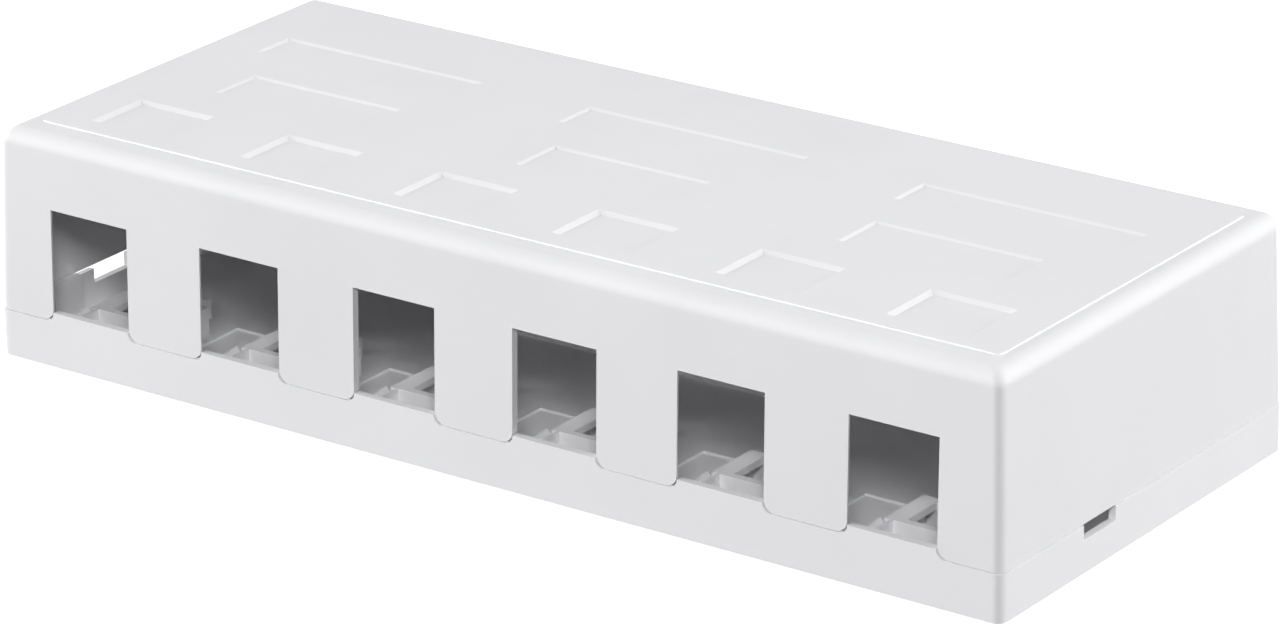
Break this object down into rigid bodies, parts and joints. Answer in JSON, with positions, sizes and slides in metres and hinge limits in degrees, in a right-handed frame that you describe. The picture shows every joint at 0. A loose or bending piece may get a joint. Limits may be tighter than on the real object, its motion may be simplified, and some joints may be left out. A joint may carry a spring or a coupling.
{
  "type": "surface mount jack box",
  "caption": "Low rectangular housing that screws to a wall or desk and holds snap-in data jacks in a row of openings along its front, with a cover that lifts off and recesses for labels on top",
  "frame": {"origin": "middle of the underside, where the box rests on the wall or desk that it is screwed to", "axes": "+X runs to the right along the row of openings, -Y is the side that the openings face, +Z points away from the mounting surface to the top of the cover"},
  "size_m": [0.18, 0.0762, 0.0368],
  "materials": {
    "white_moulding": "smooth satin moulded ABS"
  },
  "bodies": {
    "base": {"base": "white_moulding"},
    "cover": {"cover": "white_moulding"}
  },
  "joints": [
    {"name": "cover_lift", "type": "slide", "parent": "base", "child": "cover", "axis": [0, 0, 1], "range_m": [0, 0.035]}
  ]
}
